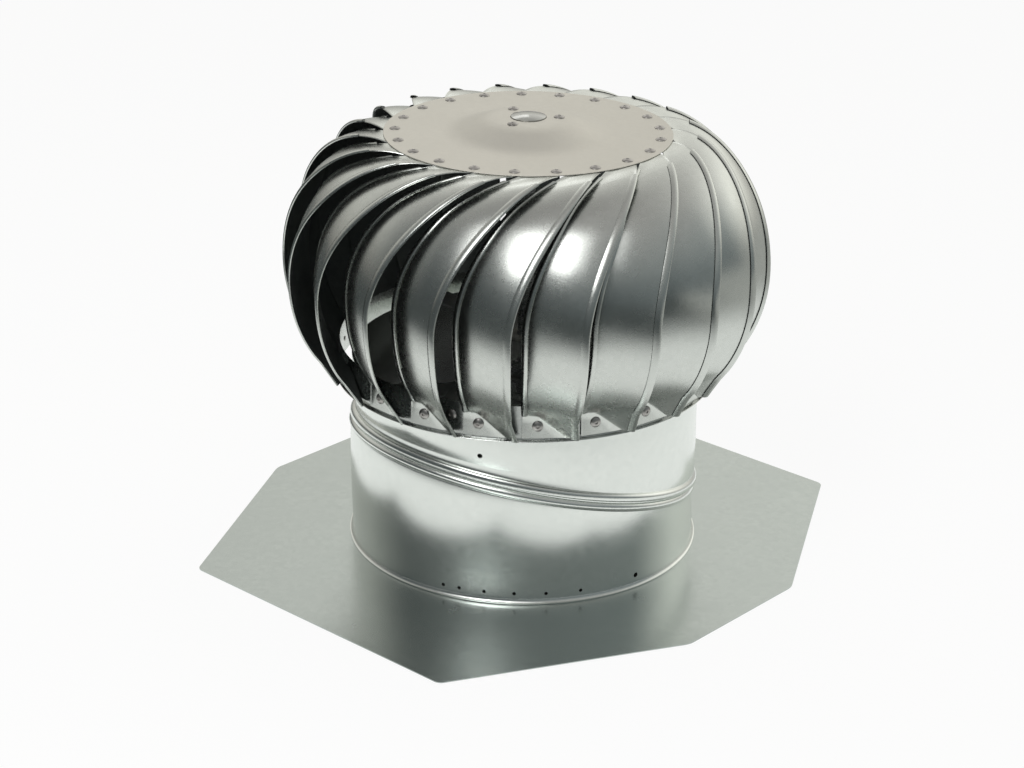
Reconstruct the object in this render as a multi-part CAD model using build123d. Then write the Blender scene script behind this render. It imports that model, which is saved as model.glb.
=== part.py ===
from build123d import *
import math
import os

# Turbine roof vent: a head of overlapping curved vanes that the wind spins on a fixed shaft,
# over a collar in two halves that swivel on an oblique seam, on a flat eight-sided flashing.
# Millimetres, +Z up, origin on the shaft axis at the underside of the flashing.

# Sheet metal, and the gap left between two sheets that are riveted together
flashing_thickness = 0.8
collar_thickness = 0.8
vane_thickness = 0.7
cap_thickness = 0.8
ring_thickness = 0.8
seat_gap = 0.05

# Flashing: a rectangle with its four corners cut off
flashing_half_x = 250.0
flashing_half_y = 260.0
flashing_side_half = 70.0
flashing_end_half = 145.0
flashing_corner_radius = 8.0

# Collar, with the swivel seam as a true circle in a tilted plane
collar_radius = 151.8
foot_bead_height = 6.5
foot_bead_depth = 1.8
lower_neck_height = 14.0
seam_height = 82.8
seam_tilt = 14.0
seam_high_side = -98.5
seam_flare_width = 1.8
seam_clearance = 0.5
rib_height = 7.0
rib_depth = 2.6
rib_gap_below_seam = 2.5
lip_depth = 2.4
bead_height = 7.0
bead_lower_radius = 1.75
seam_wall_height_above = 10.0
seam_wall_height_below = 11.5
upper_neck_height = 150.0
upper_neck_length = 22.0
collar_hole_radius = 2.2
lower_hole_side = -8.2
lower_hole_height = 11.1
upper_hole_side = -62.1
upper_hole_height = 134.5

# Bottom ring of the head, which hangs round the top of the collar
ring_gap = 10.2
ring_overlap_height = 16.0
ring_height = 31.0
ring_lip_width = 3.7

# Turbine head: the vanes' outer edges follow an ellipse round the axis
vane_count = 21
first_vane_side = -48.3
head_radius = 209.0
head_widest_height = 257.0
vane_foot_gap = 0.6
vane_foot_angle = -40.0
vane_base_side = -20.0
vane_sweep = 32.3
vane_sweep_power = 1.8
vane_width_angle = 15.0
vane_depth = 22.5
vane_depth_power = 1.3
vane_gap_at_cap = 4.0
vane_bow_height = 4.0
vane_station_count = 9
outer_hem_width = 6.5
inner_hem_width = 5.0
hem_height = 1.6
hem_end_height = 0.02
hem_fade_power = 8

# The vane feet that are riveted to the ring
foot_tab_top_angle = 4.5
foot_tab_bottom_angle = 13.0
foot_rivet_angle = 4.75
foot_seat_gap = 0.2
foot_fold_depth = 8.0
foot_bottom_gap = 3.0
foot_wing_depth = 7.2
foot_wing_side = -18.5
foot_rivet_gap = 13.5

# Top cap
cap_radius = 123.0
cap_rim_height = 371.0
cap_rim_width = 57.0
cap_rise_height = 12.7
cap_crown_radius = 35.0
cap_edge_gap = 0.8
cap_tab_length = 19.0
cap_tab_skew = 9.6
cap_rivet_inset_depth = 9.8
cap_rivet_side = 11.84

# Rivets
rivet_head_radius = 4.6
rivet_head_height = 1.7
rivet_edge_height = 0.4
rivet_shank_radius = 2.0
rivet_hole_clearance = 0.1
rivet_tail_length = 0.8

# Shaft and the brace that holds it in the upper collar
shaft_radius = 7.0
journal_radius = 6.0
shaft_length_below_brace = 19.0
brace_thickness = 2.5
brace_arm_width = 22.0
brace_arm_count = 3
brace_arm_side = 18.0
brace_gap_above_neck = 1.0
brace_tab_height = 18.0
brace_hub_radius = 24.0
washer_thickness = 1.5
washer_radius = 14.0
nut_width = 21.0
nut_thickness = 8.0
shaft_hole_clearance = 0.1

# Bearing and its housing under the cap
bearing_outer_radius = 16.0
bearing_split_radius = 9.0
bearing_width = 10.0
bearing_running_gap = 0.1
bearing_fit_gap = 0.02
housing_wall_thickness = 3.0
housing_flange_radius = 33.0
housing_flange_thickness = 2.0
housing_roof_thickness = 2.2
dome_radius = 15.0
dome_height = 3.0
dome_edge_height = 0.75
dome_gap = 0.4
boss_rivet_circle_radius = 26.0
boss_rivet_side = 41.7
boss_rivet_count = 3

# Spider that steadies the bottom ring on the shaft
spider_depth_in_ring = 5.0
spider_arm_count = 3
spider_arm_side = -21.5
spider_tab_height = 18.0
bush_radius = 11.0
bush_flange_radius = 15.0
bush_flange_thickness = 2.5
bush_length_below_hub = 6.0
bush_running_gap = 0.05

# Sizes that follow from those above
throat_radius = collar_radius - collar_thickness
seam_radius = collar_radius + seam_flare_width
upper_collar_height = upper_neck_height + upper_neck_length
ring_radius = collar_radius + ring_gap + ring_thickness
ring_bottom = upper_collar_height - ring_overlap_height
ring_top = ring_bottom + ring_height
brace_bottom = upper_neck_height + brace_gap_above_neck
spider_bottom = ring_top - spider_depth_in_ring
cap_underside = cap_rim_height - cap_thickness
cap_crown_height = cap_rim_height + cap_rise_height
cap_rivet_circle_radius = cap_radius - cap_rivet_inset_depth
bearing_top = cap_crown_height - cap_thickness - housing_roof_thickness
bearing_bottom = bearing_top - bearing_width
vane_pitch = 360.0 / vane_count
vane_top_radius = cap_radius + cap_edge_gap
vane_top_height = cap_underside - seat_gap - vane_thickness
vane_gap_angle = math.degrees(vane_gap_at_cap / vane_top_radius)
head_half_width = head_radius - vane_top_radius
head_upper_half_height = vane_top_height - head_widest_height
head_foot_depth = head_widest_height - ring_top - vane_foot_gap
head_lower_half_height = head_foot_depth / math.sin(math.radians(-vane_foot_angle))
foot_fold_height = ring_top - foot_fold_depth
foot_bottom = ring_bottom + foot_bottom_gap
foot_rivet_height = ring_bottom + foot_rivet_gap
quarter_bow = 1 - math.sqrt(0.5)

seam_slope = math.radians(seam_tilt)
seam_azimuth = math.radians(seam_high_side)
seam_axis = Vector(
    -math.sin(seam_slope) * math.cos(seam_azimuth),
    -math.sin(seam_slope) * math.sin(seam_azimuth),
    math.cos(seam_slope),
)
seam_level_line = Vector(-math.sin(seam_azimuth), math.cos(seam_azimuth), 0)
seam_plane = Plane(origin=(0, 0, seam_height), x_dir=seam_level_line, z_dir=seam_axis)
up = Vector(0, 0, 1)


def polar(radius, side, height):
    """A point at a radius and an angle in degrees about the shaft axis."""
    turn = math.radians(side)
    return Vector(radius * math.cos(turn), radius * math.sin(turn), height)


def turned(profile, plane=Plane.XZ):
    """A solid of revolution from a closed outline. A third value bows the edge to the next corner."""
    edges = []
    for (r, h, *bow), (next_r, next_h, *_) in zip(profile, profile[1:] + profile[:1]):
        start = plane.from_local_coords((r, h, 0))
        end = plane.from_local_coords((next_r, next_h, 0))
        if bow:
            share = bow[0] / math.hypot(next_r - r, next_h - h)
            middle_r = (r + next_r) / 2 + share * (next_h - h)
            middle_h = (h + next_h) / 2 - share * (next_r - r)
            middle = plane.from_local_coords((middle_r, middle_h, 0))
            edges.append(Edge.make_three_point_arc(start, middle, end))
        else:
            edges.append(Edge.make_line(start, end))
    return Solid.revolve(Face(Wire(edges)), 360, Axis(plane.origin, plane.y_dir))


def dome_bow(radius, rise):
    """How far half the outline of a dome bows out from its chord."""
    chord_squared = radius ** 2 + rise ** 2
    ball_radius = chord_squared / (2 * rise)
    return ball_radius - math.sqrt(ball_radius ** 2 - chord_squared / 4)


def level_circle(radius, height):
    """A circle about the shaft axis that starts on the seam's level line."""
    return Wire.make_circle(radius, Plane(origin=(0, 0, height), x_dir=seam_level_line, z_dir=up))


def seam_circle(radius, height):
    """A circle about the seam's tilted axis, at a height above the seam plane."""
    return Wire.make_circle(radius, seam_plane.offset(height))


def collar_loft(level_height, seam_offset):
    """The sheet wall between a level circle and a tilted one."""
    outside = Solid.make_loft([
        level_circle(collar_radius, level_height),
        seam_circle(seam_radius, seam_offset),
    ])
    inside = Solid.make_loft([
        level_circle(throat_radius, level_height),
        seam_circle(seam_radius - collar_thickness, seam_offset),
    ])
    return outside - inside


def seam_turned(profile):
    """A solid of revolution about the seam's tilted axis."""
    upright = Plane(origin=seam_plane.origin, x_dir=seam_level_line, z_dir=seam_level_line.cross(seam_axis))
    return turned(profile, upright)


def radial_hole(radius, side, height):
    """A cylinder that points outwards from the shaft axis, for a hole in a collar."""
    direction = polar(1, side, 0)
    return Solid.make_cylinder(radius, 2 * collar_radius, Plane(origin=(0, 0, height), z_dir=direction))


def rivet(base, direction, grip):
    """A domed rivet whose head sits on base and whose shank goes back through the grip."""
    tail = -grip - rivet_tail_length
    crown_bow = dome_bow(rivet_head_radius, rivet_head_height - rivet_edge_height)
    shape = turned([
        (0, tail),
        (rivet_shank_radius, tail),
        (rivet_shank_radius, 0),
        (rivet_head_radius, 0),
        (rivet_head_radius, rivet_edge_height, crown_bow),
        (0, rivet_head_height),
    ])
    return Plane(origin=base, z_dir=direction) * shape


def rivet_hole(base, direction, depth):
    """A clearance hole for a rivet, reaching a little past the surface at base."""
    hole_radius = rivet_shank_radius + rivet_hole_clearance
    start = Plane(origin=base, z_dir=-direction).offset(-rivet_tail_length)
    return Solid.make_cylinder(hole_radius, depth + 2 * rivet_tail_length, start)


def arm_sides(count, first_side):
    """The directions of evenly spread arms."""
    return [first_side + 360.0 / count * turn for turn in range(count)]


def make_flashing():
    corners = [
        (flashing_half_x, flashing_side_half),
        (flashing_end_half, flashing_half_y),
        (-flashing_end_half, flashing_half_y),
        (-flashing_half_x, flashing_side_half),
        (-flashing_half_x, -flashing_side_half),
        (-flashing_end_half, -flashing_half_y),
        (flashing_end_half, -flashing_half_y),
        (flashing_half_x, -flashing_side_half),
    ]
    sheet = extrude(Face(Wire.make_polygon([(x, y, 0) for x, y in corners])), flashing_thickness, up)
    sheet = fillet(sheet.edges().filter_by(Axis.Z), flashing_corner_radius)
    return sheet - Solid.make_cylinder(throat_radius, flashing_thickness)


def make_lower_collar():
    bottom = flashing_thickness
    foot = turned([
        (throat_radius, bottom),
        (collar_radius, bottom, foot_bead_depth),
        (collar_radius, bottom + foot_bead_height),
        (collar_radius, lower_neck_height),
        (throat_radius, lower_neck_height),
    ])
    inner = seam_radius - collar_thickness
    rib_top = -rib_gap_below_seam
    rib_bottom = rib_top - rib_height
    lip_bottom = seam_clearance
    ridge = seam_turned([
        (inner, -seam_wall_height_below),
        (seam_radius, -seam_wall_height_below),
        (seam_radius, rib_bottom, rib_depth),
        (seam_radius, rib_top),
        (seam_radius, lip_bottom),
        (seam_radius + lip_depth, lip_bottom),
        (seam_radius + lip_depth, lip_bottom + collar_thickness),
        (inner, lip_bottom + collar_thickness),
    ])
    collar = foot + collar_loft(lower_neck_height, -seam_wall_height_below) + ridge
    return collar - radial_hole(collar_hole_radius, lower_hole_side, lower_hole_height)


def make_upper_collar():
    inner = seam_radius - collar_thickness
    leaf_bottom = -collar_thickness
    leaf_inner = seam_radius + seam_clearance
    bead_inner = seam_radius + lip_depth + seam_clearance
    bead_outer = bead_inner + collar_thickness
    bead_top = leaf_bottom + bead_height
    shoulder_outer = bead_outer - seam_radius
    shoulder_inner = bead_inner - seam_radius
    bead = seam_turned([
        (inner, bead_top - collar_thickness),
        (seam_radius, bead_top - collar_thickness, -quarter_bow * shoulder_inner),
        (bead_inner, bead_top - shoulder_outer),
        (bead_inner, leaf_bottom + collar_thickness),
        (leaf_inner, leaf_bottom + collar_thickness),
        (leaf_inner, leaf_bottom),
        (bead_outer - bead_lower_radius, leaf_bottom, quarter_bow * bead_lower_radius),
        (bead_outer, leaf_bottom + bead_lower_radius),
        (bead_outer, bead_top - shoulder_outer, quarter_bow * shoulder_outer),
        (seam_radius, bead_top),
        (seam_radius, seam_wall_height_above),
        (inner, seam_wall_height_above),
    ])
    neck = turned([
        (throat_radius, upper_neck_height),
        (collar_radius, upper_neck_height),
        (collar_radius, upper_collar_height),
        (throat_radius, upper_collar_height),
    ])
    collar = bead + collar_loft(upper_neck_height, seam_wall_height_above) + neck
    collar -= radial_hole(collar_hole_radius, upper_hole_side, upper_hole_height)
    for side in arm_sides(brace_arm_count, brace_arm_side):
        base, direction = brace_rivet_seat(side)
        collar -= rivet_hole(base, direction, collar_thickness)
    return collar


def bracket(reach, bottom, tab_bottom, tab_height, hub_hole, count, first_side):
    """A flat hub with strap arms whose bent ends stand against a round wall."""
    half = brace_arm_width / 2
    tab_face = math.sqrt(reach ** 2 - half ** 2)
    shape = Solid.make_cylinder(brace_hub_radius, brace_thickness, Plane(origin=(0, 0, bottom)))
    for side in arm_sides(count, first_side):
        arm = Pos(0, -half, bottom) * Solid.make_box(tab_face, brace_arm_width, brace_thickness)
        tab = Pos(tab_face - brace_thickness, -half, tab_bottom) * Solid.make_box(
            brace_thickness, brace_arm_width, tab_height
        )
        shape += Rot(0, 0, side) * arm + Rot(0, 0, side) * tab
    return shape - Solid.make_cylinder(hub_hole, brace_thickness, Plane(origin=(0, 0, bottom)))


def brace_rivet_seat(side):
    """Where a brace rivet's head sits on the outside of the upper collar."""
    height = brace_bottom + brace_thickness + (brace_tab_height - brace_thickness) / 2
    return polar(collar_radius + seat_gap, side, height), polar(1, side, 0)


def make_brace():
    reach = throat_radius - seat_gap
    hole = shaft_radius + shaft_hole_clearance
    shape = bracket(
        reach, brace_bottom, brace_bottom, brace_tab_height, hole, brace_arm_count, brace_arm_side
    )
    for side in arm_sides(brace_arm_count, brace_arm_side):
        base, direction = brace_rivet_seat(side)
        shape -= rivet_hole(base, direction, collar_thickness + 2 * brace_thickness)
    return shape


def spider_rivet_seat(side):
    """Where a spider rivet's head sits on the outside of the bottom ring."""
    height = spider_bottom - (spider_tab_height - brace_thickness) / 2
    return polar(ring_radius + seat_gap, side, height), polar(1, side, 0)


def make_spider():
    reach = ring_radius - ring_thickness - seat_gap
    tab_bottom = spider_bottom + brace_thickness - spider_tab_height
    hole = bush_radius + bearing_fit_gap
    first = first_vane_side + spider_arm_side
    shape = bracket(reach, spider_bottom, tab_bottom, spider_tab_height, hole, spider_arm_count, first)
    for side in arm_sides(spider_arm_count, first):
        base, direction = spider_rivet_seat(side)
        shape -= rivet_hole(base, direction, ring_thickness + 2 * brace_thickness)
    return shape


def make_shaft():
    bottom = brace_bottom - shaft_length_below_brace
    return turned([
        (0, bottom),
        (shaft_radius, bottom),
        (shaft_radius, bearing_bottom),
        (journal_radius, bearing_bottom),
        (journal_radius, bearing_top - bearing_running_gap),
        (0, bearing_top - bearing_running_gap),
    ])


def make_washer(bottom):
    hole = shaft_radius + shaft_hole_clearance
    return turned([
        (hole, bottom),
        (washer_radius, bottom),
        (washer_radius, bottom + washer_thickness),
        (hole, bottom + washer_thickness),
    ])


def make_nut(bottom):
    hexagon = Plane(origin=(0, 0, bottom)) * RegularPolygon(nut_width / 2, 6, major_radius=False)
    hole = Solid.make_cylinder(shaft_radius + bearing_fit_gap, nut_thickness, Plane(origin=(0, 0, bottom)))
    return extrude(hexagon, nut_thickness).solid() - hole


def make_bearing_ring(inner, outer):
    return turned([
        (inner, bearing_bottom),
        (outer, bearing_bottom),
        (outer, bearing_top - bearing_fit_gap),
        (inner, bearing_top - bearing_fit_gap),
    ])


def make_housing():
    flange_top = cap_crown_height - cap_thickness
    flange_bottom = flange_top - housing_flange_thickness
    pocket = bearing_outer_radius + bearing_fit_gap
    hub = pocket + housing_wall_thickness
    dome_edge = cap_crown_height + dome_edge_height
    body = turned([
        (0, bearing_top),
        (pocket, bearing_top),
        (pocket, bearing_bottom - bearing_running_gap),
        (hub, bearing_bottom - bearing_running_gap),
        (hub, flange_bottom),
        (housing_flange_radius, flange_bottom),
        (housing_flange_radius, flange_top),
        (dome_radius, flange_top),
        (dome_radius, dome_edge, dome_bow(dome_radius, dome_height - dome_edge_height)),
        (0, cap_crown_height + dome_height),
    ])
    for base in boss_rivet_seats():
        body -= rivet_hole(base, up, cap_thickness + housing_flange_thickness)
    return body


def boss_rivet_seats():
    """Where the three rivets of the bearing housing sit on the cap's crown."""
    return [
        polar(boss_rivet_circle_radius, side, cap_crown_height)
        for side in arm_sides(boss_rivet_count, boss_rivet_side)
    ]


def cap_rivet_seats():
    """Where each vane's rivet sits on the cap's flat rim."""
    return [
        polar(cap_rivet_circle_radius, first_vane_side + cap_rivet_side + vane_pitch * turn, cap_rim_height)
        for turn in range(vane_count)
    ]


def make_cap():
    rim_inner = cap_radius - cap_rim_width
    hole = dome_radius + dome_gap
    top = cap_rim_height
    crown = cap_crown_height
    cap = turned([
        (cap_radius, top - cap_thickness),
        (cap_radius, top),
        (rim_inner, top),
        (cap_crown_radius, crown),
        (hole, crown),
        (hole, crown - cap_thickness),
        (cap_crown_radius, crown - cap_thickness),
        (rim_inner, top - cap_thickness),
    ])
    for base in cap_rivet_seats() + boss_rivet_seats():
        cap -= rivet_hole(base, up, cap_thickness)
    return cap


def foot_rivet_seat(turn):
    """Where a vane foot's rivet sits: the middle of the flat tab on the bottom ring."""
    side = first_vane_side + vane_base_side - vane_width_angle + foot_rivet_angle + vane_pitch * turn
    seat = ring_radius + foot_seat_gap + seat_gap + vane_thickness
    return polar(seat, side, foot_rivet_height), polar(1, side, 0)


def make_ring():
    inner = ring_radius - ring_thickness
    ring = turned([
        (inner, ring_bottom),
        (ring_radius + ring_lip_width, ring_bottom),
        (ring_radius + ring_lip_width, ring_bottom + ring_thickness),
        (ring_radius, ring_bottom + ring_thickness),
        (ring_radius, ring_top),
        (inner, ring_top),
    ])
    for turn in range(vane_count):
        base, direction = foot_rivet_seat(turn)
        ring -= rivet_hole(base, direction, vane_thickness + ring_thickness)
    for side in arm_sides(spider_arm_count, first_vane_side + spider_arm_side):
        base, direction = spider_rivet_seat(side)
        ring -= rivet_hole(base, direction, ring_thickness)
    return ring


def make_bush():
    bore = shaft_radius + bush_running_gap
    hub_top = spider_bottom + brace_thickness
    return turned([
        (bore, spider_bottom - bush_length_below_hub),
        (bush_radius, spider_bottom - bush_length_below_hub),
        (bush_radius, hub_top),
        (bush_flange_radius, hub_top),
        (bush_flange_radius, hub_top + bush_flange_thickness),
        (bore, hub_top + bush_flange_thickness),
    ])


def vane_edges(angle):
    """The inner and outer edge of a vane at an angle along the head's elliptical outline."""
    rise = math.sin(math.radians(angle))
    half_height = head_upper_half_height if angle > 0 else head_lower_half_height
    climb = max(angle, 0) / 90
    height = head_widest_height + half_height * rise
    outer_radius = vane_top_radius + head_half_width * math.cos(math.radians(angle))
    outer_side = vane_base_side + vane_sweep * climb ** vane_sweep_power
    width = vane_width_angle + (vane_pitch - vane_gap_angle - vane_width_angle) * climb
    inner_radius = outer_radius - vane_depth * (1 - climb ** vane_depth_power)
    return polar(inner_radius, outer_side - width, height), polar(outer_radius, outer_side, height)


def strip_section(inner, outer, out, bow, hem):
    """A thin cross-section of a vane, bowed outwards between two edges that are folded back as hems."""
    width = (outer - inner).length

    def across(share, lift):
        return inner + (outer - inner) * share + out * lift

    def bowed(first, second, lift):
        middle = (first + second) / 2
        top = across(middle, lift + 4 * bow * (middle - first * second))
        ends = [across(share, lift + 4 * bow * share * (1 - share)) for share in (first, second)]
        return Edge.make_bezier(ends[0], top, ends[1])

    inner_fold = inner_hem_width / width
    outer_fold = 1 - outer_hem_width / width
    back = bowed(0, 1, 0)
    front = bowed(outer_fold, inner_fold, vane_thickness)
    hem_step = out * min(hem, vane_thickness)
    corners = [
        outer,
        across(1, vane_thickness + hem),
        front @ 0 + hem_step,
        front @ 0,
        front @ 1,
        front @ 1 + hem_step,
        across(0, vane_thickness + hem),
        inner,
    ]
    outer_hem = [Edge.make_line(*pair) for pair in zip(corners[:3], corners[1:4])]
    inner_hem = [Edge.make_line(*pair) for pair in zip(corners[4:7], corners[5:])]
    return Wire([back] + outer_hem + [front] + inner_hem)


def folded_section(inner, middle, outer):
    """A level cross-section of a vane's foot, bent outwards at its middle and hemmed at its outer edge."""
    across = (outer - middle).normalized()
    out_tab = (middle - inner).normalized().cross(up)
    out_wing = across.cross(up)
    out_middle = (out_tab + out_wing) / (1 + out_tab.dot(out_wing))
    fold = outer - across * outer_hem_width
    return Wire.make_polygon([
        inner,
        middle,
        outer,
        outer + out_wing * (vane_thickness + hem_height),
        fold + out_wing * 2 * vane_thickness,
        fold + out_wing * vane_thickness,
        middle + out_middle * vane_thickness,
        inner + out_tab * vane_thickness,
    ])


def vane_blade_sections():
    """Cross-sections of the blade from its foot up to the edge of the cap."""
    sections = []
    for station in range(vane_station_count):
        share = station / (vane_station_count - 1)
        angle = vane_foot_angle + (90 - vane_foot_angle) * share
        inner, outer = vane_edges(angle)
        ahead = vane_edges(min(angle + 1, 90))
        behind = vane_edges(angle - 1)
        along = (ahead[0] + ahead[1] - behind[0] - behind[1]).normalized()
        out = (outer - inner).cross(along).normalized()
        bow = vane_bow_height * math.sin(math.pi * share)
        hem = hem_height * (1 - share ** hem_fade_power)
        if share == 0:
            out = (outer - inner).cross(up).normalized()
        if share == 1:
            out = up
            hem = hem_end_height
        sections.append(strip_section(inner, outer, out, bow, hem))
    return sections


def vane_cap_tab(edge_section):
    """The flat tab that goes on under the cap from the blade's top section."""
    reach = cap_radius - cap_tab_length
    sides = [math.degrees(math.atan2(edge.Y, edge.X)) + cap_tab_skew for edge in vane_edges(90)]
    inner_end, outer_end = [polar(reach, side, vane_top_height) for side in sides]
    end_section = strip_section(inner_end, outer_end, up, 0, hem_end_height)
    return Solid.make_loft([edge_section, end_section], ruled=True)


def vane_foot():
    """The folded foot: a flat tab on the ring, and a wing that carries the outer hem down past it."""
    inner, outer = vane_edges(vane_foot_angle)
    fold_share = foot_tab_top_angle / vane_width_angle
    sections = [folded_section(inner, inner + (outer - inner) * fold_share, outer)]
    fold_rise = (foot_fold_height - head_widest_height) / head_lower_half_height
    fold_outer = vane_edges(math.degrees(math.asin(fold_rise)))[1]
    wing_end = polar(ring_radius + foot_wing_depth, foot_wing_side, foot_bottom)
    tab_side = vane_base_side - vane_width_angle
    for height, tab_angle, wing_edge in (
        (foot_fold_height, foot_tab_top_angle, fold_outer),
        (foot_bottom, foot_tab_bottom_angle, wing_end),
    ):
        tab_radius = (ring_radius + foot_seat_gap) / math.cos(math.radians(tab_angle / 2))
        sections.append(folded_section(
            polar(tab_radius, tab_side, height),
            polar(tab_radius, tab_side + tab_angle, height),
            wing_edge,
        ))
    return Solid.make_loft(sections, ruled=True)


def make_vane():
    """One vane: a blade that curls from the ring up to the cap, with a riveted tab at each end."""
    sections = vane_blade_sections()
    vane = Solid.make_loft(sections) + vane_cap_tab(sections[-1]) + vane_foot()
    placed = Rot(0, 0, first_vane_side) * vane
    base, direction = foot_rivet_seat(0)
    placed -= rivet_hole(base, direction, vane_thickness)
    placed -= rivet_hole(cap_rivet_seats()[0], up, cap_thickness + vane_thickness)
    return placed


os.makedirs("parts", exist_ok=True)
nodes = {
    "base_flashing": make_flashing(),
    "lower_collar": make_lower_collar(),
    "upper_collar": make_upper_collar(),
    "shaft_brace": make_brace(),
    "shaft": make_shaft(),
    "bearing_housing": make_housing(),
    "bearing_inner_ring": make_bearing_ring(
        journal_radius + bearing_fit_gap, bearing_split_radius
    ),
    "bearing_outer_ring": make_bearing_ring(
        bearing_split_radius + bearing_running_gap, bearing_outer_radius
    ),
    "top_cap": make_cap(),
    "bottom_ring": make_ring(),
    "head_spider": make_spider(),
    "shaft_bush": make_bush(),
}

brace_top = brace_bottom + brace_thickness
nodes["shaft_washers"] = Compound([
    make_washer(brace_top),
    make_washer(brace_bottom - washer_thickness),
])
nodes["shaft_nuts"] = Compound([
    make_nut(brace_top + washer_thickness),
    make_nut(brace_bottom - washer_thickness - nut_thickness),
])
nodes["brace_rivets"] = Compound([
    rivet(*brace_rivet_seat(side), collar_thickness + brace_thickness)
    for side in arm_sides(brace_arm_count, brace_arm_side)
])
nodes["spider_rivets"] = Compound([
    rivet(*spider_rivet_seat(side), ring_thickness + brace_thickness)
    for side in arm_sides(spider_arm_count, first_vane_side + spider_arm_side)
])
nodes["boss_rivets"] = Compound([
    rivet(base, up, cap_thickness + housing_flange_thickness) for base in boss_rivet_seats()
])
nodes["cap_rivets"] = Compound([
    rivet(base, up, cap_thickness + vane_thickness) for base in cap_rivet_seats()
])
nodes["ring_rivets"] = Compound([
    rivet(*foot_rivet_seat(turn), vane_thickness + ring_thickness) for turn in range(vane_count)
])

first_vane = make_vane()
for turn in range(vane_count):
    nodes[f"vane_{turn + 1:02d}"] = Rot(0, 0, vane_pitch * turn) * first_vane

for name, shape in nodes.items():
    export_step(shape, f"parts/{name}.step")
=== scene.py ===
import math

import bmesh
import bpy
from mathutils import Matrix, Vector, noise


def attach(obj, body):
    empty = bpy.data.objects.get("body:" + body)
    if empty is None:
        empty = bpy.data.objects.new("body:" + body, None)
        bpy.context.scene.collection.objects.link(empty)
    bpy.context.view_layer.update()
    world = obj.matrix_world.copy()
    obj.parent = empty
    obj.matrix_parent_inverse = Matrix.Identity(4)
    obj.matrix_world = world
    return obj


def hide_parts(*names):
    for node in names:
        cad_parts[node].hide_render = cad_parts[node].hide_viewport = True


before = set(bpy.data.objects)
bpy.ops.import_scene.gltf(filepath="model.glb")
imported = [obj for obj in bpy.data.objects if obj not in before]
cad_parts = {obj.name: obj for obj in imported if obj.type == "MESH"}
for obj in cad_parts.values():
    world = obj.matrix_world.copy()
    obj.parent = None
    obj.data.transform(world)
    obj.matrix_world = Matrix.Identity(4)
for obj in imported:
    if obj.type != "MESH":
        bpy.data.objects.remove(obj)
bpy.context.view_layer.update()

# Turbine roof vent in galvanised sheet. Sizes are in millimetres and become metres in the meshes.
# Sides are angles in degrees about the shaft axis.
MM = 0.001

# Sheet metal
flashing_thickness = 0.8
collar_thickness = 0.8
vane_thickness = 0.7
vane_wall = 0.6
cap_thickness = 0.8
ring_thickness = 0.8
brace_thickness = 2.5
seat_gap = 0.05
edge_break = 0.3

# Flashing
flashing_half_x = 250.0
flashing_half_y = 260.0
flashing_side_half = 70.0
flashing_end_half = 145.0
flashing_corner_cut = 4.4
throat_test_share = 0.98

# Collar
collar_radius = 151.8
foot_cove_height = 6.0
foot_cove_width = 3.4
lower_neck_height = 14.0
seam_height = 82.8
seam_tilt = 14.0
seam_high_side = -98.5
seam_radius = 153.6
seam_clearance = 0.5
rib_height = 7.0
rib_depth = 2.6
rib_roundness = 0.8
rib_gap_below_seam = 2.5
lip_depth = 2.4
lip_bend_height = 0.2
lip_bend_width = 0.4
bead_height = 7.0
bead_lower_radius = 1.75
bead_shoulder_angle = 80.0
bead_shoulder_step = 0.3
seam_wall_above = 10.0
seam_wall_below = 11.5
upper_neck_height = 150.0
upper_collar_height = 172.0
collar_hole_radius = 2.2
collar_punch_length = 30.0
lower_hole = (-8.2, 11.1)
upper_hole = (-62.1, 134.5)
prick_sides = (-74.1, -68.5, -60.2, -50.5, -40.3, -28.9)
prick_height = 9.6
prick_radius = 1.6
prick_depth = 0.65

# Bottom ring
ring_radius = 162.8
ring_bottom = 156.0
ring_top = 187.0
ring_top_break = 0.2
ring_lip_width = 3.7
ring_inner_bend = 1.6
ring_outer_bend = 0.9

# Vane blades, by angle along the head's elliptical outline, which is 90 at the cap
vane_count = 21
first_vane_side = -48.3
head_radius = 209.0
head_widest_height = 257.0
vane_foot_height = 187.6
vane_foot_angle = -40.0
vane_base_side = -20.0
vane_sweep = 32.3
vane_sweep_power = 1.8
vane_width_angle = 15.0
vane_depth = 22.5
vane_depth_power = 1.3
vane_gap_at_cap = 1.6
vane_bow_height = 4.0
vane_twist_start = 0.4
vane_crest_lift = 3.5
vane_crest_dip = 5.0
vane_crest_lap = 5.5
vane_unevenness = 0.12
dents_across = 2.0
dents_along = 4.0
dents_between_vanes = 3.7
inside_lean = 0.15
inside_level_limit = 0.8

# Vane hems and feet
outer_hem_width = 6.5
inner_hem_width = 5.0
hem_edge_lift = 1.75
hem_fold_lift = 0.8
hem_swell = 0.45
hem_bend_radius = 0.55
hem_root_share = 0.6
outer_hem_end_angle = 76.0
inner_hem_end_angle = 82.0
outer_hem_end_step = 0.05
outer_hem_notch = 1.2
foot_tab_top_angle = 4.5
foot_tab_bottom_angle = 13.0
foot_rivet_angle = 4.75
foot_seat_gap = 0.2
foot_fold_height = 179.0
foot_bottom = 159.0
foot_wing_radius = 170.0
foot_wing_side = -18.5
foot_rivet_height = 169.5

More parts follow.
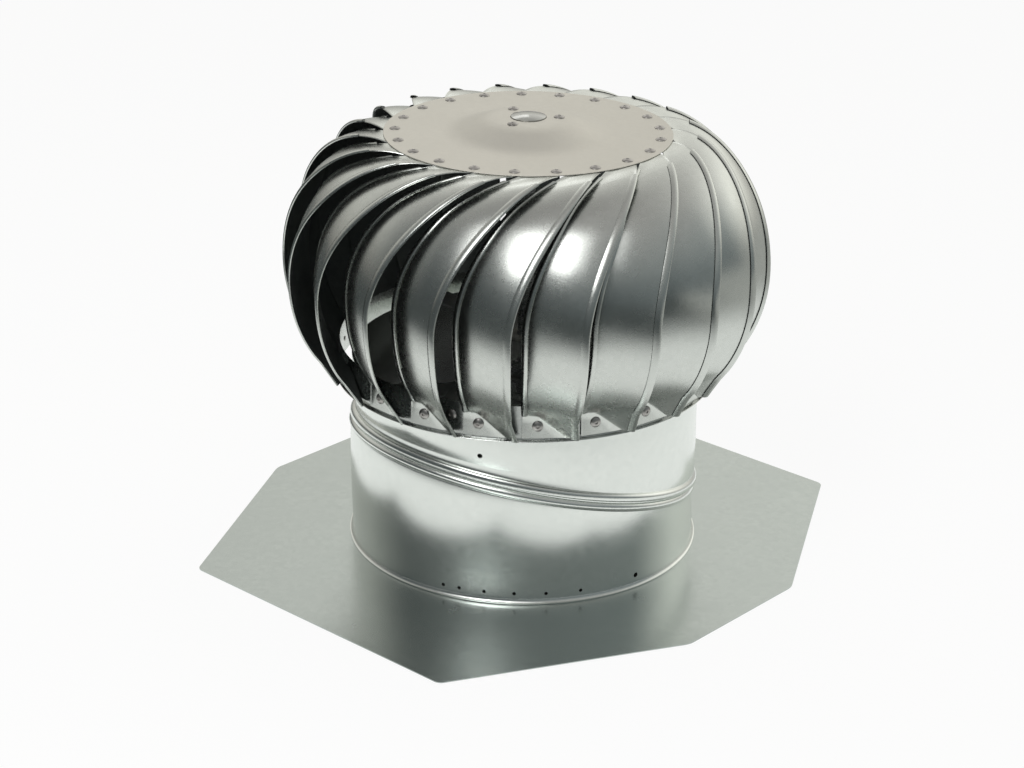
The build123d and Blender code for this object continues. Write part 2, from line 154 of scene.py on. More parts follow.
# Cap and bearing housing
cap_radius = 123.0
cap_rim_height = 371.0
cap_rim_width = 57.0
cap_crown_height = 383.7
cap_crown_radius = 35.0
cap_cone_ease = 9.0
cap_edge_gap = 0.8
cap_tab_length = 19.0
cap_tab_skew = 9.6
cap_rivet_circle_radius = 113.2
cap_rivet_side = 11.84
dome_radius = 15.0
dome_height = 3.0
dome_edge_height = 0.75
dome_gap = 0.4
housing_flange_radius = 33.0
housing_flange_thickness = 2.0
housing_hub_radius = 19.02
housing_skirt = 0.1
bearing_pocket_radius = 16.02
bearing_top = 380.7
bearing_bottom = 370.7
boss_rivet_circle_radius = 26.0
boss_rivet_sides = (41.7, 161.7, 281.7)

# Rivets
rivet_head_radius = 4.6
rivet_head_height = 1.7
rivet_rim_height = 0.5
rivet_rim_ease = 0.35
rivet_crown_width = 1.2
rivet_crown_drop = 0.15
rivet_crown_ease = 1.0
rivet_pit_radius = 1.3
rivet_pit_ease = 0.25
rivet_pit_taper = 0.8
rivet_pit_depth = 0.9
rivet_shank_radius = 2.0
rivet_tail_length = 0.8
brace_rivet_height = 161.25
brace_rivet_sides = (18.0, 138.0, 258.0)
spider_rivet_height = 174.25
spider_rivet_sides = (-69.8, 50.2, 170.2)

# Edges broken on the copies of hidden pieces
strap_break = 0.4
bush_break = 0.3
nut_break = 0.5
washer_break = 0.15

# Fineness of the meshes
round_steps = 168
housing_steps = 72
rivet_steps = 24
hole_steps = 24
prick_steps_round = 16
prick_steps_down = 10
plate_corner_steps = 5
ease_steps = 6
cove_steps = 8
rib_steps = 10
bead_bend_steps = 4
bead_shoulder_steps = 8
collar_wall_steps = 9
dome_steps = 10
hem_flap_steps = 4
hem_bend_steps = 4
blade_row_count = 48
blade_first_row = 0.7
foot_row_shares = (0, 0.05, 0.35, 0.65, 0.95)
fold_row_shares = (0.1, 0.5, 0.88)
cap_tab_row_shares = (0.3, 0.65, 1)
tab_column_shares = (0.3, 0.65)
fold_column_shifts = (-1.2, 1.2)
wing_column_shares = (0.15, 0.3, 0.45, 0.6, 0.75, 0.9)
seam_merge = 0.004
copy_merge = 0.002
copy_flat_angle = 1.0
copy_edge_turn = 0.6

# Angles in degrees past which an edge stays sharp
plate_crease = 32
collar_crease = 50
vane_crease = 40
turned_crease = 40
housing_crease = 45
copy_crease = 35

# Camera of the photograph
photo_turn = 41.7
camera_distance = 2008.8
camera_height = 981.1
camera_yaw = -0.310
camera_pitch = -22.760
camera_roll = 0.776
camera_lens = 86.62
camera_sensor_width = 36.0
camera_clip_start = 50.0
camera_clip_end = 60000.0

# Floor: white paper to the camera, and to metal a glowing table that dims with its distance, a painted
# reflection with painted shade in the throat
floor_half_width = 9000.0
floor_drop = 0.6
floor_grey = (0.9, 0.9, 0.9)
floor_roughness = 0.9
paper_strength = 1.04
paper_share = 0.86
throat_shade_radius = 151.0
table_inner_radius = 153.0
table_outer_radius = 500.0
table_end_radius = 800.0
throat_shade = (0.02, 0.02, 0.02)
table_white = (0.95, 0.97, 0.95)
table_end_dim = (0.07, 0.08, 0.08)
table_end_pale = (0.44, 0.45, 0.43)
table_pale_side = 120.0
table_pale_reach = 700.0

# Room, by height from the floor's level at 0 to straight up at 1; its sides start at the camera's
near_room = (
    (0.0, (0.11, 0.125, 0.13)),
    (0.2, (0.135, 0.155, 0.16)),
    (0.5, (0.245, 0.262, 0.262)),
    (1.0, (0.38, 0.37, 0.36)),
)
far_room = (
    (0.0, (0.35, 0.34, 0.32)),
    (0.2, (0.73, 0.72, 0.67)),
    (0.4, (1.02, 1.01, 0.95)),
    (0.6, (0.84, 0.83, 0.79)),
    (1.0, (0.38, 0.37, 0.36)),
)
far_room_side = 180.0
far_room_span = (-0.1, 0.5)
bright_room_side = 90.0
bright_room_span = (-0.9, 0.9)
room_strength = (0.6, 1.4)
softbox_aim_height = 250.0

# Sizes that follow
vane_pitch = 360.0 / vane_count
vane_top_radius = cap_radius + cap_edge_gap
vane_top_height = cap_rim_height - cap_thickness - seat_gap - vane_thickness
vane_gap_angle = math.degrees(vane_gap_at_cap / vane_top_radius)
vane_lap_angle = math.degrees(vane_crest_lap / vane_top_radius)
head_upper_half_height = vane_top_height - head_widest_height
head_lower_half_height = (head_widest_height - vane_foot_height) / math.sin(math.radians(-vane_foot_angle))
fold_share = foot_tab_top_angle / vane_width_angle
vane_face = vane_wall + seat_gap

# Places in the order of a vane's rows that lie before and after the blade's own angles
foot_row_angle = vane_foot_angle - 2
fold_row_angle = vane_foot_angle - 1
cap_tab_row_angle = 91.0

# The crest's curve, twist squared times the twist that is left, is 4/27 at its peak
crest_scale = 27 / 4

up = Vector((0, 0, 1))
seam_slope = math.radians(seam_tilt)
seam_azimuth = math.radians(seam_high_side)
seam_axis = Vector((
    -math.sin(seam_slope) * math.cos(seam_azimuth),
    -math.sin(seam_slope) * math.sin(seam_azimuth),
    math.cos(seam_slope),
))
seam_level_line = Vector((-math.sin(seam_azimuth), math.cos(seam_azimuth), 0))


def frame_about(axis, height):
    """Axes that start on the seam's level line, with Z along the axis, at a height."""
    side = axis.cross(seam_level_line)
    columns = Matrix((seam_level_line, side, axis)).transposed().to_4x4()
    return Matrix.Translation((0, 0, height * MM)) @ columns


level_frame = frame_about(up, 0)
seam_frame = frame_about(seam_axis, seam_height)


def polar(radius, side, height):
    """A point at a radius and a side, in millimetres."""
    turn = math.radians(side)
    return Vector((radius * math.cos(turn), radius * math.sin(turn), height))


def room_direction(side):
    """A level direction at an angle from the camera's side, positive to its right."""
    return polar(1, photo_turn - 90 + side, 0)


def arc_turns(steps, end=90.0):
    """Evenly spaced angles in radians, from 0 to an end in degrees."""
    return [math.radians(end * step / steps) for step in range(steps + 1)]


# Node links, for finishes and for the room

def add_node(owner, kind, **sockets):
    """A node with its constant sockets set."""
    node = owner.node_tree.nodes.new(kind)
    for socket, value in sockets.items():
        node.inputs[socket.replace("_", " ")].default_value = value
    return node


def join(owner, source, target):
    """Links one socket to another."""
    owner.node_tree.links.new(source, target)


def blend_colours(owner, amount, first, second):
    """A colour between two colours or colour sockets."""
    mix = add_node(owner, "ShaderNodeMix")
    mix.data_type = "RGBA"
    join(owner, amount, mix.inputs["Factor"])
    first_socket, second_socket = [socket for socket in mix.inputs if socket.type == "RGBA"]
    for socket, value in ((first_socket, first), (second_socket, second)):
        if hasattr(value, "is_linked"):
            join(owner, value, socket)
        else:
            socket.default_value = (*value, 1)
    return next(socket for socket in mix.outputs if socket.type == "RGBA")


def blend_shaders(owner, amount, first, second):
    """A shader between two shaders."""
    mix = add_node(owner, "ShaderNodeMixShader")
    for source, socket in zip((amount, first, second), mix.inputs):
        join(owner, source, socket)
    return mix.outputs["Shader"]


def spread(owner, source, span, new_span):
    """A value moved from one span to another, and held within it."""
    node = add_node(
        owner, "ShaderNodeMapRange",
        From_Min=span[0], From_Max=span[1], To_Min=new_span[0], To_Max=new_span[1],
    )
    join(owner, source, node.inputs["Value"])
    return node.outputs["Result"]


def calculate(owner, operation, first, second):
    """The result of a sum with a socket and a socket or a number."""
    node = add_node(owner, "ShaderNodeMath")
    node.operation = operation
    join(owner, first, node.inputs[0])
    if hasattr(second, "is_linked"):
        join(owner, second, node.inputs[1])
    else:
        node.inputs[1].default_value = second
    return node.outputs["Value"]


def colour_ramp(owner, source, stops):
    """Colours by a value, each stop with its place and colour."""
    ramp = add_node(owner, "ShaderNodeValToRGB")
    elements = ramp.color_ramp.elements
    for element, (place, colour) in zip(elements, (stops[0], stops[-1])):
        element.position = place
        element.color = (*colour, 1)
    for place, colour in stops[1:-1]:
        elements.new(place).color = (*colour, 1)
    join(owner, source, ramp.inputs["Fac"])
    return ramp.outputs["Color"]


def facing(owner, direction, side, span, new_span):
    """How far a direction or place lies to one side of the room, spread over a span."""
    dot = add_node(owner, "ShaderNodeVectorMath")
    dot.operation = "DOT_PRODUCT"
    dot.inputs[1].default_value = room_direction(side)
    join(owner, direction, dot.inputs[0])
    return spread(owner, dot.outputs["Value"], span, new_span)


# Finishes

whole_span = (0.0, 1.0)
noise_span = (0.3, 0.7)
grain_span = (0.35, 0.75)
cloud_strength = 0.75
grain_strength = 0.3
crystal_gloss = 0.012
cloud_gloss = 0.015
line_gloss = 0.06
wave_depth = 4.0
tooth_depth = 0.3


def around(middle, reach):
    """A span with a middle and a reach to each side."""
    return middle - reach, middle + reach


def new_finish(name):
    """A bare metal finish, with its shader and object coordinates."""
    finish = bpy.data.materials.new(name)
    finish.use_nodes = True
    shader = finish.node_tree.nodes["Principled BSDF"]
    shader.inputs["Metallic"].default_value = 1.0
    coordinates = add_node(finish, "ShaderNodeTexCoord")
    return finish, shader, coordinates.outputs["Object"]


def zinc_sheet(name, dark, light, roughness, crystal_size, contrast=0.4, wave=0.03, tooth=0.12):
    """Galvanised sheet: faint zinc crystals, cloudy tarnish, a fine grain and slight unevenness."""
    finish, shader, place = new_finish(name)
    crystals = add_node(finish, "ShaderNodeTexVoronoi", Scale=1 / (crystal_size * MM))
    clouds = add_node(finish, "ShaderNodeTexNoise", Scale=16.0, Detail=5.0, Roughness=0.55)
    grain = add_node(finish, "ShaderNodeTexNoise", Scale=850.0, Detail=2.0)
    waves = add_node(finish, "ShaderNodeTexNoise", Scale=11.0, Detail=1.0)
    for texture in (crystals, clouds, grain, waves):
        join(finish, place, texture.inputs["Vector"])
    cell = add_node(finish, "ShaderNodeSeparateColor")
    join(finish, crystals.outputs["Color"], cell.inputs["Color"])

    middle = tuple((a + b) / 2 for a, b in zip(dark, light))
    cell_tone = spread(finish, cell.outputs["Red"], whole_span, around(0.5, contrast / 2))
    cell_colour = blend_colours(finish, cell_tone, dark, light)
    cloud_tone = spread(finish, clouds.outputs["Fac"], noise_span, (0.0, cloud_strength))
    colour = blend_colours(finish, cloud_tone, cell_colour, middle)
    grain_tone = spread(finish, grain.outputs["Fac"], grain_span, (0.0, grain_strength))
    join(finish, blend_colours(finish, grain_tone, colour, dark), shader.inputs["Base Color"])

    cell_shine = spread(finish, cell.outputs["Green"], whole_span, around(roughness, crystal_gloss))
    cloud_shine = spread(finish, clouds.outputs["Fac"], noise_span, around(0.0, cloud_gloss))
    join(finish, calculate(finish, "ADD", cell_shine, cloud_shine), shader.inputs["Roughness"])

    swell = add_node(finish, "ShaderNodeBump", Strength=wave, Distance=wave_depth * MM)
    join(finish, waves.outputs["Fac"], swell.inputs["Height"])
    bite = add_node(finish, "ShaderNodeBump", Strength=tooth, Distance=tooth_depth * MM)
    join(finish, grain.outputs["Fac"], bite.inputs["Height"])
    join(finish, swell.outputs["Normal"], bite.inputs["Normal"])
    join(finish, bite.outputs["Normal"], shader.inputs["Normal"])
    return finish


def turned_metal(name, dark, light, roughness, line_scale):
    """Machined or drawn metal with fine lines round its axis and a little tarnish."""
    finish, shader, place = new_finish(name)
    stretch = add_node(finish, "ShaderNodeMapping", Scale=(1, 1, line_scale))
    join(finish, place, stretch.inputs["Vector"])
    lines = add_node(finish, "ShaderNodeTexNoise", Scale=90.0, Detail=3.0)
    join(finish, stretch.outputs["Vector"], lines.inputs["Vector"])
    tarnish = add_node(finish, "ShaderNodeTexNoise", Scale=70.0, Detail=4.0)
    join(finish, place, tarnish.inputs["Vector"])
    tone = spread(finish, tarnish.outputs["Fac"], noise_span, whole_span)
    join(finish, blend_colours(finish, tone, dark, light), shader.inputs["Base Color"])
    shine = spread(finish, lines.outputs["Fac"], noise_span, around(roughness, line_gloss))
    join(finish, shine, shader.inputs["Roughness"])
    bite = add_node(finish, "ShaderNodeBump", Strength=0.12, Distance=tooth_depth * MM)
    join(finish, lines.outputs["Fac"], bite.inputs["Height"])
    join(finish, bite.outputs["Normal"], shader.inputs["Normal"])
    return finish


def nylon(name, dark, light):
    """Moulded nylon with a soft mottle."""
    finish, shader, place = new_finish(name)
    shader.inputs["Metallic"].default_value = 0.0
    shader.inputs["Roughness"].default_value = 0.45
    mottle = add_node(finish, "ShaderNodeTexNoise", Scale=220.0, Detail=3.0)
    join(finish, place, mottle.inputs["Vector"])
    join(finish, blend_colours(finish, mottle.outputs["Fac"], dark, light), shader.inputs["Base Color"])
    return finish


flashing_zinc = zinc_sheet(
    "flashing_zinc", (0.44, 0.48, 0.465), (0.53, 0.57, 0.55),
    roughness=0.25, crystal_size=5.0, wave=0.05, tooth=0.03,
)
collar_zinc = zinc_sheet(
    "collar_zinc", (0.72, 0.75, 0.72), (0.80, 0.82, 0.79), roughness=0.21, crystal_size=5.0
)
vane_zinc = zinc_sheet(
    "vane_zinc", (0.58, 0.60, 0.57), (0.70, 0.72, 0.69), roughness=0.27, crystal_size=4.0
)
cap_zinc = zinc_sheet(
    "cap_zinc", (0.70, 0.68, 0.625), (0.77, 0.75, 0.69), roughness=0.58, crystal_size=4.0, contrast=0.35
)
# Dark dull copy of the vane sheet for the vanes' inward faces: painted shade inside the head
vane_inside_painted_shade = zinc_sheet(
    "vane_inside_painted_shade", (0.10, 0.11, 0.11), (0.16, 0.17, 0.165), roughness=0.55, crystal_size=7.0, wave=0.05
)
ring_zinc = zinc_sheet(
    "ring_zinc", (0.60, 0.62, 0.60), (0.72, 0.74, 0.71), roughness=0.27, crystal_size=4.0
)
strap_zinc = zinc_sheet(
    "strap_zinc", (0.45, 0.46, 0.45), (0.60, 0.61, 0.60),
    roughness=0.42, crystal_size=6.0, contrast=0.6, wave=0.08,
)
rivet_steel = turned_metal(
    "rivet_steel", (0.38, 0.365, 0.35), (0.55, 0.53, 0.51), roughness=0.36, line_scale=1.0
)
shaft_steel = turned_metal(
    "shaft_steel", (0.46, 0.46, 0.47), (0.62, 0.62, 0.63), roughness=0.28, line_scale=14.0
)
bearing_steel = turned_metal(
    "bearing_steel", (0.55, 0.55, 0.57), (0.70, 0.70, 0.72), roughness=0.18, line_scale=8.0
)
housing_alloy = turned_metal(
    "housing_alloy", (0.38, 0.385, 0.37), (0.47, 0.475, 0.46), roughness=0.14, line_scale=4.0
)
# Near-black dull finish for the faces the punches cut: painted shade in the holes and the prick dents
punch_painted_shade = zinc_sheet(
    "punch_painted_shade", (0.04, 0.04, 0.04), (0.07, 0.07, 0.07), roughness=0.7, crystal_size=4.0, wave=0.0
)
bush_nylon = nylon("bush_nylon", (0.66, 0.64, 0.58), (0.74, 0.72, 0.67))


# Making pieces

def mesh_from(name, bm):
    """A mesh made of a bmesh, which is used up."""
    mesh = bpy.data.meshes.new(name)
    bm.to_mesh(mesh)
    bm.free()
    return mesh


def add_object(name, data):
    """A new object in the scene."""
    added = bpy.data.objects.new(name, data)
    bpy.context.scene.collection.objects.link(added)
    return added


def smooth_over(mesh, crease):
    """Smooth shading with sharp creases."""
    mesh.shade_smooth()
    mesh.set_sharp_from_angle(angle=math.radians(crease))


def place_piece(name, bm, body, finish, node, crease):
    """Turns a bmesh into a piece that rides on a body in place of a CAD node."""
    mesh = mesh_from(name, bm)
    smooth_over(mesh, crease)
    mesh.materials.append(finish)
    piece = add_object(name, mesh)
    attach(piece, body)
    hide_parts(node)
    return piece


def close_up(bm):
    """Merges seams and poles and turns the faces outwards."""
    bmesh.ops.remove_doubles(bm, verts=bm.verts, dist=seam_merge * MM)
    bmesh.ops.recalc_face_normals(bm, faces=bm.faces)


def eased(profile):
    """An outline whose corners with a third value are bent softly, starting that far from the corner."""
    points = []
    for index, (r, h, *ease) in enumerate(profile):
        corner = Vector((r, h))
        if not ease:
            points.append(corner)
            continue
        before = Vector(profile[index - 1][:2]) - corner
        after = Vector(profile[(index + 1) % len(profile)][:2]) - corner
        start = corner + before.normalized() * ease[0]
        end = corner + after.normalized() * ease[0]
        for step in range(ease_steps + 1):
            t = step / ease_steps
            points.append(start * (1 - t) ** 2 + corner * 2 * t * (1 - t) + end * t ** 2)
    return points


def spin_outline(bm, profile, closed=False, steps=round_steps):
    """Spins an outline of radius and height round the shaft axis."""
    corners = [bm.verts.new((radius * MM, 0, height * MM)) for radius, height in eased(profile)]
    edges = [bm.edges.new(pair) for pair in zip(corners, corners[1:])]
    if closed:
        edges.append(bm.edges.new((corners[-1], corners[0])))
    bmesh.ops.spin(
        bm, geom=corners + edges, cent=(0, 0, 0), axis=up, angle=math.tau, steps=steps, use_merge=True
    )
    close_up(bm)


def raise_rings(bm, rings):
    """A round skin that climbs through rings, each a set of axes, a radius and a height."""
    axes, radius, height = rings[0]
    ring = bmesh.ops.create_circle(bm, segments=round_steps, radius=radius * MM)["verts"]
    bmesh.ops.transform(bm, matrix=axes @ Matrix.Translation((0, 0, height * MM)), verts=ring)
    edges = list({edge for vert in ring for edge in vert.link_edges})
    for next_axes, next_radius, next_height in rings[1:]:
        grown = bmesh.ops.extrude_edge_only(bm, edges=edges)["geom"]
        verts = [item for item in grown if isinstance(item, bmesh.types.BMVert)]
        edges = [
            item for item in grown
            if isinstance(item, bmesh.types.BMEdge) and all(vert in verts for vert in item.verts)
        ]
        scale = Matrix.Diagonal((next_radius / radius, next_radius / radius, 1, 1))
        drop = Matrix.Translation((0, 0, -height * MM)) @ axes.inverted()
        lift = next_axes @ Matrix.Translation((0, 0, next_height * MM))
        bmesh.ops.transform(bm, matrix=lift @ scale @ drop, verts=verts)
        axes, radius, height = next_axes, next_radius, next_height


def thicken(bm, thickness):
    """Gives a skin whose faces point outwards a wall behind them."""
    bmesh.ops.solidify(bm, geom=bm.faces[:], thickness=thickness * MM)
    bmesh.ops.recalc_face_normals(bm, faces=bm.faces)


def grow_wall(bm, thickness):
    """A new bmesh of a skin with tight hems, whose wall follows the skin's smooth normals."""
    skin = add_object("skin", mesh_from("skin", bm))
    wall = skin.modifiers.new("wall", "SOLIDIFY")
    wall.thickness = thickness * MM
    wall.offset = -1
    wall.use_even_offset = False
    bpy.context.view_layer.update()
    grown = bmesh.new()
    grown.from_object(skin, bpy.context.evaluated_depsgraph_get())
    bpy.data.objects.remove(skin)
    return grown


def aim_along(bm, verts, base, direction):
    """Moves a shape made at the origin to a base, with its Z axis along a direction."""
    aim = direction.to_track_quat("Z", "Y").to_matrix().to_4x4()
    bmesh.ops.transform(bm, matrix=Matrix.Translation(base * MM) @ aim, verts=verts)


# Flashing and collars

def make_flashing():
    """An eight-sided plate with soft corners and the throat's hole."""
    bm = bmesh.new()
    half_corners = (
        (flashing_half_x, flashing_side_half),
        (flashing_end_half, flashing_half_y),
        (-flashing_end_half, flashing_half_y),
        (-flashing_half_x, flashing_side_half),
    )
    corners = half_corners + tuple((-x, -y) for x, y in half_corners)
    bm.faces.new([bm.verts.new((x * MM, y * MM, 0)) for x, y in corners])
    bmesh.ops.bevel(
        bm, geom=bm.verts[:], affect="VERTICES", offset=flashing_corner_cut * MM,
        segments=plate_corner_steps, profile=0.5, material=-1,
    )
    bmesh.ops.delete(bm, geom=bm.faces[:], context="FACES_ONLY")
    bmesh.ops.create_circle(bm, segments=round_steps, radius=(collar_radius - collar_thickness) * MM)
    bmesh.ops.triangle_fill(bm, use_beauty=True, use_dissolve=False, edges=bm.edges[:], normal=up)
    limit = collar_radius * throat_test_share * MM
    inside = [face for face in bm.faces if face.calc_center_median().length < limit]
    bmesh.ops.delete(bm, geom=inside, context="FACES")
    bmesh.ops.translate(bm, vec=(0, 0, flashing_thickness * MM), verts=bm.verts)
    bmesh.ops.recalc_face_normals(bm, faces=bm.faces)
    if bm.faces[:][0].normal.z < 0:
        bmesh.ops.reverse_faces(bm, faces=bm.faces[:])
    thicken(bm, flashing_thickness)
    place_piece(
        "flashing_plate", bm, "base", flashing_zinc, "base_flashing", plate_crease
    )


def collar_wall(neck_height, seam_end):
    """Rings of a straight wall from the level neck to the tilted seam, without its two ends."""
    neck = level_frame @ Matrix.Translation((0, 0, neck_height * MM))
    seam = seam_frame @ Matrix.Translation((0, 0, seam_end * MM))
    shares = [step / collar_wall_steps for step in range(1, collar_wall_steps)]
    return [
        (neck.lerp(seam, share), collar_radius + (seam_radius - collar_radius) * share, 0)
        for share in shares
    ]


def punch_hole(bm, side, height):
    """A round punch through a collar's wall."""
    hole = bmesh.ops.create_cone(
        bm, cap_ends=True, segments=hole_steps, depth=collar_punch_length * MM,
        radius1=collar_hole_radius * MM, radius2=collar_hole_radius * MM,
    )
    aim_along(bm, hole["verts"], polar(collar_radius, side, height), polar(1, side, 0))


def punch_prick(bm, side):
    """A ball that presses a small dent in the foot of the lower collar."""
    ball = bmesh.ops.create_uvsphere(
        bm, u_segments=prick_steps_round, v_segments=prick_steps_down, radius=prick_radius * MM
    )
    centre = polar(collar_radius + prick_radius - prick_depth, side, prick_height)
    aim_along(bm, ball["verts"], centre, polar(1, side, 0))


def pierce(piece, punches):
    """Cuts the shapes in a bmesh out of a collar."""
    mesh = mesh_from("punch", punches)
    # The cut faces take the near-black finish, painted shade inside the holes and dents
    mesh.materials.append(punch_painted_shade)
    punch = add_object("punch", mesh)
    cut = piece.modifiers.new("punch", "BOOLEAN")
    cut.operation = "DIFFERENCE"
    cut.solver = "EXACT"
    cut.material_mode = "TRANSFER"
    cut.object = punch
    bpy.context.view_layer.update()
    pierced = bpy.data.meshes.new_from_object(piece.evaluated_get(bpy.context.evaluated_depsgraph_get()))
    piece.modifiers.clear()
    piece.data = pierced
    smooth_over(pierced, collar_crease)
    bpy.data.objects.remove(punch)


def make_collar(name, body, node, rings, punches):
    """A collar half that climbs through rings and has its holes punched."""
    bm = bmesh.new()
    raise_rings(bm, rings)
    close_up(bm)
    thicken(bm, collar_thickness)
    piece = place_piece(name, bm, body, collar_zinc, node, collar_crease)
    pierce(piece, punches)


def make_lower_collar():
    """The fixed half: a cove at its foot, a swage rib and the lip at the seam."""
    rings = []
    for turn in arc_turns(cove_steps):
        rings.append((
            level_frame,
            collar_radius + foot_cove_width * (1 - math.sin(turn)),
            flashing_thickness + foot_cove_height * (1 - math.cos(turn)),
        ))
    rings.append((level_frame, collar_radius, lower_neck_height))
    rings += collar_wall(lower_neck_height, -seam_wall_below)
    rings.append((seam_frame, seam_radius, -seam_wall_below))
    rib_bottom = -rib_gap_below_seam - rib_height
    for step in range(rib_steps + 1):
        share = step / rib_steps
        swell = rib_depth * math.sin(math.pi * share) ** rib_roundness
        rings.append((seam_frame, seam_radius + swell, rib_bottom + rib_height * share))
    lip_top = seam_clearance + collar_thickness
    rings.append((seam_frame, seam_radius, seam_clearance + lip_bend_height))
    rings.append((seam_frame, seam_radius + lip_bend_width, lip_top))
    rings.append((seam_frame, seam_radius + lip_depth, lip_top))
    punches = bmesh.new()
    punch_hole(punches, *lower_hole)
    for side in prick_sides:
        punch_prick(punches, side)
    make_collar("lower_collar_shell", "base", "lower_collar", rings, punches)


def make_upper_collar():
    """The swivelling half, with the bead that holds the lower half's lip."""
    leaf_bottom = -collar_thickness
    bead_outer = seam_radius + lip_depth + seam_clearance + collar_thickness
    bead_top = leaf_bottom + bead_height
    shoulder = bead_outer - seam_radius
    rings = [(seam_frame, seam_radius + seam_clearance, leaf_bottom)]
    for turn in arc_turns(bead_bend_steps):
        rings.append((
            seam_frame,
            bead_outer - bead_lower_radius * (1 - math.sin(turn)),
            leaf_bottom + bead_lower_radius * (1 - math.cos(turn)),
        ))
    for turn in arc_turns(bead_shoulder_steps, bead_shoulder_angle):
        rings.append((
            seam_frame,
            seam_radius + shoulder * math.cos(turn),
            bead_top - shoulder + shoulder * math.sin(turn),
        ))
    rings.append((seam_frame, seam_radius, bead_top + bead_shoulder_step))
    rings.append((seam_frame, seam_radius, seam_wall_above))
    rings += reversed(collar_wall(upper_neck_height, seam_wall_above))
    rings.append((level_frame, collar_radius, upper_neck_height))
    rings.append((level_frame, collar_radius, upper_collar_height))
    punches = bmesh.new()
    punch_hole(punches, *upper_hole)
    make_collar("upper_collar_shell", "swivel_collar", "upper_collar", rings, punches)


# Vanes

def vane_edges(angle):
    """The inner and outer edge of a vane at an angle along the head's elliptical outline."""
    rise = math.sin(math.radians(angle))
    half_height = head_upper_half_height if angle > 0 else head_lower_half_height
    climb = max(angle, 0) / 90
    height = head_widest_height + half_height * rise
    outer_radius = vane_top_radius + (head_radius - vane_top_radius) * math.cos(math.radians(angle))
    outer_side = vane_base_side + vane_sweep * climb ** vane_sweep_power
    twist = max(0, climb - vane_twist_start) / (1 - vane_twist_start)
    crest = crest_scale * twist ** 2 * (1 - twist)
    width = vane_width_angle + (vane_pitch - vane_gap_angle - vane_width_angle) * climb
    width += vane_lap_angle * crest
    inner_radius = outer_radius - vane_depth * (1 - climb ** vane_depth_power)
    inner = polar(inner_radius, outer_side - width, height - vane_crest_dip * crest)
    return inner, polar(outer_radius, outer_side, height + vane_crest_lift * crest)


def blade_row(angle):
    """A straight cross row of the blade: inner corner, fold line and outer corner."""
    inner, outer = vane_edges(angle)
    return inner, inner.lerp(outer, fold_share), outer


def foot_row(height, tab_angle, wing_edge):
    """A cross row of the foot, bent where its wing leaves the ring."""
    tab_side = vane_base_side - vane_width_angle
    radius = (ring_radius + foot_seat_gap) / math.cos(math.radians(tab_angle / 2))
    return polar(radius, tab_side, height), polar(radius, tab_side + tab_angle, height), wing_edge


def rows_between(first, second, shares, angle):
    """Rows on the way from one row to another, each with its angle along the outline."""
    return [(tuple(a.lerp(b, share) for a, b in zip(first, second)), angle) for share in shares]


def vane_rows():
    """Rows from the bottom of the foot to the end of the cap tab, each with its angle along the outline."""
    fold_rise = (foot_fold_height - head_widest_height) / head_lower_half_height
    fold_outer = vane_edges(math.degrees(math.asin(fold_rise)))[1]
    wing_end = polar(foot_wing_radius, foot_wing_side, foot_bottom)
    bottom = foot_row(foot_bottom, foot_tab_bottom_angle, wing_end)
    fold = foot_row(foot_fold_height, foot_tab_top_angle, fold_outer)
    rows = rows_between(bottom, fold, foot_row_shares, foot_row_angle)
    rows += rows_between(fold, blade_row(vane_foot_angle), fold_row_shares, fold_row_angle)

    first_angle = vane_foot_angle + blade_first_row
    angle_span = 90 - vane_foot_angle - blade_first_row
    angles = [first_angle + angle_span * step / blade_row_count for step in range(blade_row_count + 1)]
    angles += [outer_hem_end_angle, outer_hem_end_angle + outer_hem_end_step]
    rows += [(blade_row(angle), angle) for angle in sorted(angles)]

    cap_edge = blade_row(90)
    shrink = (cap_radius - cap_tab_length) / vane_top_radius
    skew = Matrix.Rotation(math.radians(cap_tab_skew), 3, "Z")
    level = Vector((0, 0, vane_top_height))
    tab_end = tuple(skew @ ((point - level) * shrink) + level for point in cap_edge)
    return rows + rows_between(cap_edge, tab_end, cap_tab_row_shares, cap_tab_row_angle)


def hem_outline(width):
    """A hem from its free edge round the bend to the sheet: distance from the edge, and lift."""
    bend = hem_bend_radius + vane_wall
    outline = []
    for step in range(hem_flap_steps):
        share = step / hem_flap_steps
        swell = 4 * hem_swell * share * (1 - share)
        lift = hem_fold_lift + (hem_edge_lift - hem_fold_lift) * share + swell
        outline.append((width + (bend - width) * share, lift))
    for step in range(hem_bend_steps + 1):
        turn = math.radians(90 - 180 * step / hem_bend_steps)
        lift = vane_face + (hem_edge_lift - vane_face) * (1 + math.sin(turn)) / 2
        outline.append((bend - hem_bend_radius * math.cos(turn), lift))
    return outline + [(width * hem_root_share, vane_face), (width, vane_face)]


def vane_columns():
    """Columns across the flat blank, each with its zone, place in that zone and lift off the inner face."""
    columns = [("inner", place, lift) for place, lift in hem_outline(inner_hem_width)]
    columns += [("tab", share, vane_face) for share in tab_column_shares]
    columns += [("fold", shift, vane_face) for shift in fold_column_shifts]
    columns += [("wing", share, vane_face) for share in wing_column_shares]
    columns += [("outer", place, lift) for place, lift in reversed(hem_outline(outer_hem_width))]
    return columns


def row_point(row, zone, place):
    """A point across a row, the direction across it there, and its share of the whole width."""
    inner, middle, outer = row
    tab = middle - inner
    wing = outer - middle
    if zone == "inner":
        along = place
    elif zone == "tab":
        along = inner_hem_width + (tab.length - inner_hem_width) * place
    elif zone == "fold":
        along = tab.length + place
    elif zone == "wing":
        along = tab.length + (wing.length - outer_hem_width) * place
    else:
        along = tab.length + wing.length - place
    share = along / (tab.length + wing.length)
    if along < tab.length:
        return inner + tab.normalized() * along, tab.normalized(), share
    return middle + wing.normalized() * (along - tab.length), wing.normalized(), share


